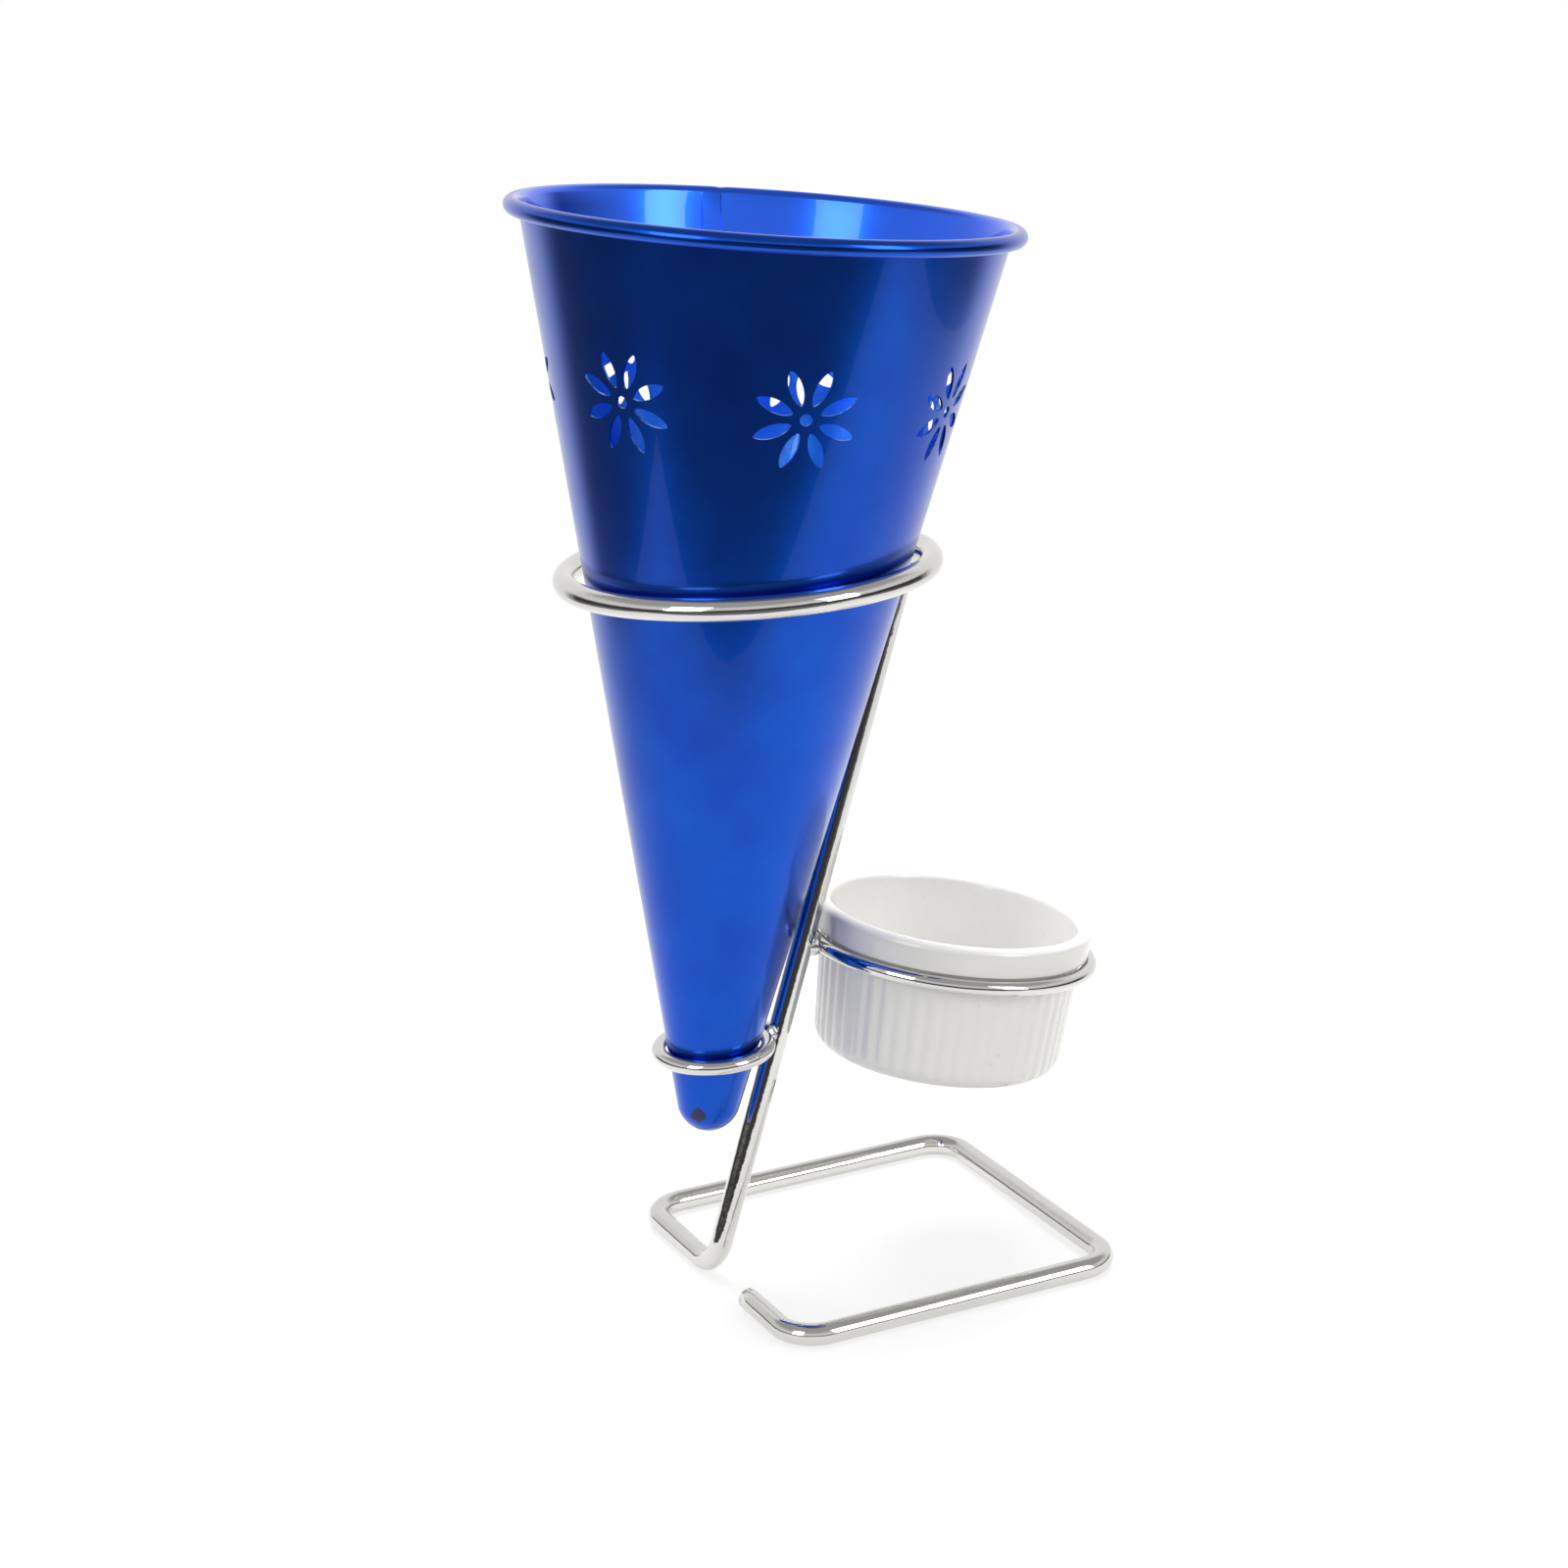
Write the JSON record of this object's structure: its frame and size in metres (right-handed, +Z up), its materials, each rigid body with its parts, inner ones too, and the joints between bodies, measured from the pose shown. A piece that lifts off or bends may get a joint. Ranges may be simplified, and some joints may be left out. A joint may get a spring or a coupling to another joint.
{
  "type": "snack cone stand with sauce dish",
  "caption": "Punched sheet-metal snack cone hung in a leaning wire stand with an open base frame, with a fluted sauce dish in a tilted side ring.",
  "frame": {"origin": "on the table, in the plane of the upright and the hoops, midway along the base frame", "axes": "+Z up, +X from the upright's foot towards the sauce dish, Y across the frame with -Y at the near side"},
  "size_m": [0.1512, 0.13, 0.2916],
  "materials": {
    "chrome_rod": "bright chrome plate on bent round rod",
    "chrome_wire": "bright chrome plate on thinner wire",
    "weld": "plated weld bead, slightly rough",
    "blue_lacquer": "clear deep blue lacquer over bright sheet metal, glossy",
    "porcelain": "opaque white glazed porcelain"
  },
  "bodies": {
    "root": {"stand_wire": "chrome_rod", "cone_hoop": "chrome_rod", "tip_hoop": "chrome_wire", "dish_hoop": "chrome_wire", "cone_hoop_weld": "weld", "tip_hoop_weld": "weld", "dish_hoop_weld": "weld", "cone": "blue_lacquer", "sauce_dish": "porcelain"}
  },
  "joints": []
}
